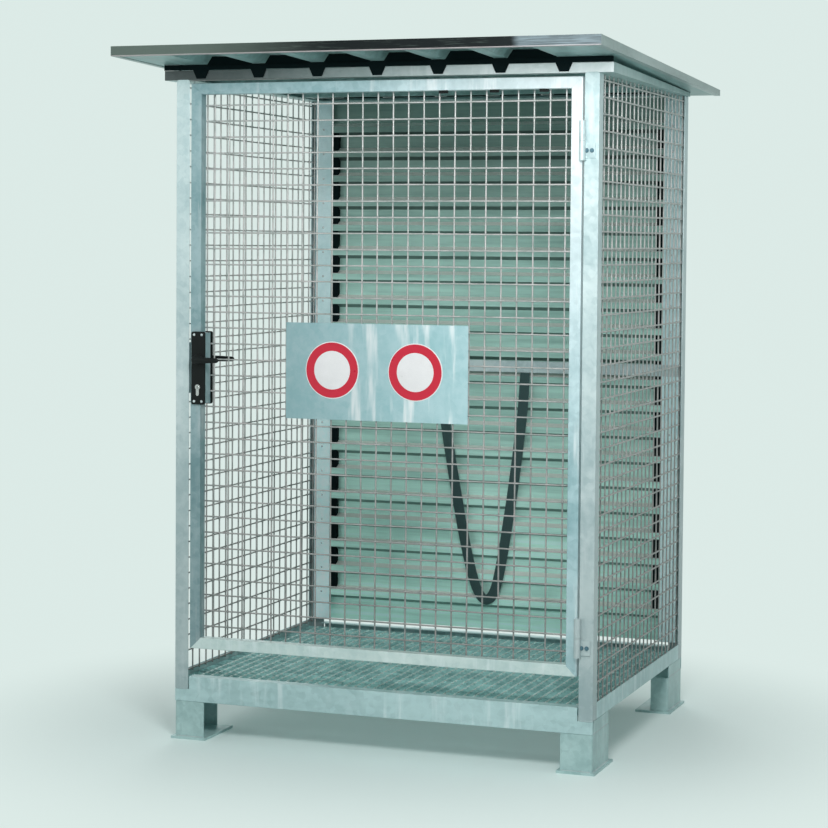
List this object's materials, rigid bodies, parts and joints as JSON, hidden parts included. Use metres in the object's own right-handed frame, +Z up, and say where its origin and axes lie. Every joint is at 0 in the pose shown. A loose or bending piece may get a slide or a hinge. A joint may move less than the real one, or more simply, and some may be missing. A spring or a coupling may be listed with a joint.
{
  "type": "gas cylinder cabinet",
  "caption": "Outdoor cage of galvanised steel on legs, with wire mesh sides, a hinged mesh door with a lever lock, a ribbed back, a grating floor and a ribbed roof.",
  "frame": {"origin": "on the ground, under the middle of the whole cabinet with its roof", "axes": "+X to the right seen from the front, +Y to the back, +Z up; the door is at -Y"},
  "size_m": [1.541, 1.549, 2.171],
  "materials": {
    "galvanised_steel": "hot-dip galvanised, mottled, satin",
    "galvanised_sheet": "galvanised sheet, satin",
    "galvanised_wire": "galvanised wire and bar, satin",
    "sign_sheet": "galvanised plate with two plain enamel discs",
    "black_plastic": "satin black",
    "lock_steel": "brushed",
    "strap_webbing": "woven webbing"
  },
  "bodies": {
    "cabinet": {"front_beam": "galvanised_steel", "back_beam": "galvanised_steel", "left_side_rail": "galvanised_steel", "right_side_rail": "galvanised_steel", "leg_front_left": "galvanised_steel", "leg_front_right": "galvanised_steel", "leg_back_left": "galvanised_steel", "leg_back_right": "galvanised_steel", "post_front_left": "galvanised_steel", "post_front_right": "galvanised_steel", "post_back_left": "galvanised_steel", "post_back_right": "galvanised_steel", "floor_bearing_bars": "galvanised_wire", "floor_cross_bars": "galvanised_wire", "roof_frame_front": "galvanised_steel", "roof_frame_back": "galvanised_steel", "roof_frame_left": "galvanised_steel", "roof_frame_right": "galvanised_steel", "roof_purlin_front": "galvanised_steel", "roof_purlin_back": "galvanised_steel", "roof_sheet": "galvanised_sheet", "roof_trim_front": "galvanised_sheet", "roof_trim_left": "galvanised_sheet", "roof_trim_right": "galvanised_sheet", "back_sheet": "galvanised_sheet", "back_trim_left": "galvanised_sheet", "back_trim_right": "galvanised_sheet", "left_mesh_crosswires": "galvanised_wire", "left_mesh_uprights": "galvanised_wire", "right_mesh_crosswires": "galvanised_wire", "right_mesh_uprights": "galvanised_wire", "retaining_rail": "galvanised_steel", "cylinder_strap": "strap_webbing", "hinge_lower_post_half": "galvanised_steel", "hinge_upper_post_half": "galvanised_steel", "lock_keep": "galvanised_steel"},
    "door": {"door_left_stile": "galvanised_steel", "door_right_stile": "galvanised_steel", "door_top_rail": "galvanised_steel", "door_bottom_rail": "galvanised_steel", "door_mesh_uprights": "galvanised_wire", "door_mesh_crosswires": "galvanised_wire", "sign_plate": "sign_sheet", "lock_plate_outer": "black_plastic", "lock_plate_inner": "black_plastic", "lock_case": "galvanised_steel", "lock_cylinder": "lock_steel", "hinge_lower_door_half": "galvanised_steel", "hinge_upper_door_half": "galvanised_steel"},
    "handle": {"lock_handle": "black_plastic"}
  },
  "joints": [
    {"name": "door_swing", "type": "hinge", "parent": "cabinet", "child": "door", "pos_m": [0.64, -0.4978, 1.2], "axis": [0, 0, 1], "range_deg": [0, 180]},
    {"name": "handle_turn", "type": "hinge", "parent": "door", "child": "handle", "pos_m": [-0.608, -0.4958, 1.2086], "axis": [0, 1, 0], "range_deg": [0, 40], "stiffness_Nm_per_rad": 1.5, "springref_deg": -28.65}
  ]
}
